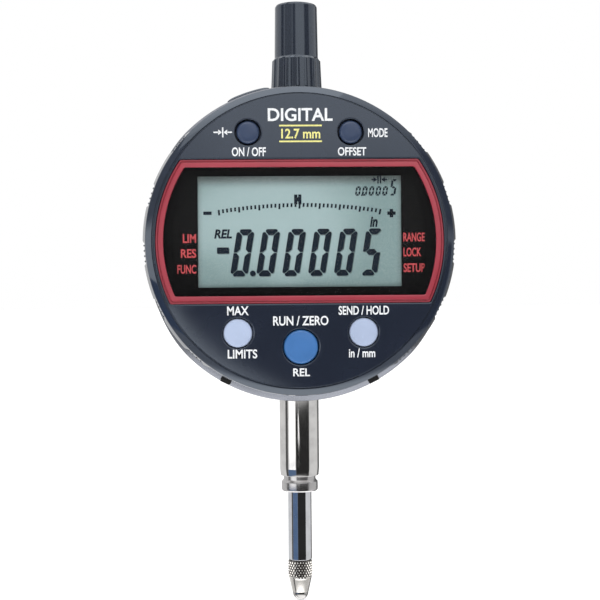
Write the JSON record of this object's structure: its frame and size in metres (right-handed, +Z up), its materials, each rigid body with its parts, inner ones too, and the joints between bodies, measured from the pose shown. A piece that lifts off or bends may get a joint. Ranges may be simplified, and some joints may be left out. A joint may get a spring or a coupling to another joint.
{
  "type": "digital dial indicator",
  "caption": "Reads small movements of a sprung, guided spindle on a digital display that turns on its case; held by its mounting stem",
  "frame": {"origin": "On the spindle's axis, at the lower end of the mounting stem, with the spindle at rest.", "axes": "+Z runs up the spindle towards its cap, -Y is the way the display faces, +X is to the right of a person reading it."},
  "size_m": [0.0612, 0.0259, 0.1211],
  "materials": {
    "face_plastic": "fine satin moulding, dark slate blue",
    "cap_plastic": "satin moulding, dark grey blue",
    "case_paint": "satin slate blue enamel",
    "black_plastic": "matt black",
    "red_trim": "gloss red",
    "window_clear": "clear polished sheet",
    "display_glass": "grey-green display glass",
    "key_dark": "satin moulding",
    "key_pale": "satin moulding, pale blue",
    "key_blue": "satin moulding, blue",
    "bright_steel": "ground and polished",
    "carbide": "polished hard metal",
    "brass": "machined",
    "copper_foil": "amber film",
    "circuit_board": "green laminate",
    "rubber": "black moulded"
  },
  "bodies": {
    "case": {"main_case": "case_paint", "rim_plug_left": "rubber", "rim_plug_right": "rubber", "back_gasket": "rubber", "back_cover": "case_paint", "battery_holder": "black_plastic", "battery_contact": "brass", "battery_cell": "bright_steel", "stem": "bright_steel", "stem_end_ring": "bright_steel", "lower_bush": "brass", "upper_bush": "brass", "guide_tube": "bright_steel", "stop_pin": "bright_steel", "return_spring": "bright_steel", "guide_rail": "brass", "detector_board": "circuit_board", "pickup_head": "black_plastic", "data_connector": "black_plastic", "cover_screw_1": "bright_steel", "cover_screw_2": "bright_steel", "cover_screw_3": "bright_steel", "cover_screw_4": "bright_steel"},
    "display_unit": {"front_housing": "face_plastic", "window_frame": "red_trim", "window_lens": "window_clear", "display_mask": "black_plastic", "lcd_panel": "display_glass", "lcd_holder": "black_plastic", "zebra_strip_upper": "rubber", "zebra_strip_lower": "rubber", "display_board": "circuit_board", "processor_chip": "black_plastic", "display_back": "black_plastic", "display_seal": "rubber", "retaining_ring": "bright_steel", "signal_ribbon": "copper_foil", "display_screw_1": "bright_steel", "display_screw_2": "bright_steel", "display_screw_3": "bright_steel", "display_screw_4": "bright_steel", "power_switch": "bright_steel", "origin_switch": "bright_steel", "peak_switch": "bright_steel", "hold_switch": "bright_steel", "zero_switch": "bright_steel"},
    "plunger": {"spindle": "bright_steel", "contact_point": "bright_steel", "contact_ball": "carbide", "scale_bracket": "brass", "guide_pin": "bright_steel", "linear_scale": "display_glass"},
    "cap": {"spindle_cap": "cap_plastic"},
    "battery_lid": {"battery_cap": "black_plastic"},
    "port_lid": {"port_cover": "face_plastic"},
    "power_button": {"power_key": "key_dark"},
    "origin_button": {"origin_key": "key_dark"},
    "peak_button": {"peak_key": "key_pale"},
    "hold_button": {"hold_key": "key_pale"},
    "zero_button": {"zero_key": "key_blue"}
  },
  "joints": [
    {"name": "display_turn", "type": "hinge", "parent": "case", "child": "display_unit", "pos_m": [0, -0.01, 0.05], "axis": [0, 1, 0], "range_deg": [-165, 165]},
    {"name": "plunger_travel", "type": "slide", "parent": "case", "child": "plunger", "axis": [0, 0, 1], "range_m": [0, 0.0127], "stiffness_N_per_m": 60, "springref_m": -0.012, "deforming": ["return_spring"]},
    {"name": "cap_lift", "type": "slide", "parent": "case", "child": "cap", "axis": [0, 0, 1], "range_m": [0, 0.012]},
    {"name": "battery_cap_turn", "type": "hinge", "parent": "case", "child": "battery_lid", "pos_m": [-0.017, 0.007, 0.046], "axis": [0, 1, 0], "range_deg": [0, 90]},
    {"name": "port_cover_lift", "type": "slide", "parent": "case", "child": "port_lid", "axis": [-0.309, 0, 0.9511], "range_m": [0, 0.006]},
    {"name": "power_press", "type": "slide", "parent": "display_unit", "child": "power_button", "axis": [0, 1, 0], "range_m": [0, 0.0005], "stiffness_N_per_m": 1200, "springref_m": -0.0003},
    {"name": "origin_press", "type": "slide", "parent": "display_unit", "child": "origin_button", "axis": [0, 1, 0], "range_m": [0, 0.0005], "stiffness_N_per_m": 1200, "springref_m": -0.0003},
    {"name": "peak_press", "type": "slide", "parent": "display_unit", "child": "peak_button", "axis": [0, 1, 0], "range_m": [0, 0.0005], "stiffness_N_per_m": 1200, "springref_m": -0.0003},
    {"name": "hold_press", "type": "slide", "parent": "display_unit", "child": "hold_button", "axis": [0, 1, 0], "range_m": [0, 0.0005], "stiffness_N_per_m": 1200, "springref_m": -0.0003},
    {"name": "zero_press", "type": "slide", "parent": "display_unit", "child": "zero_button", "axis": [0, 1, 0], "range_m": [0, 0.0005], "stiffness_N_per_m": 1200, "springref_m": -0.0003}
  ]
}
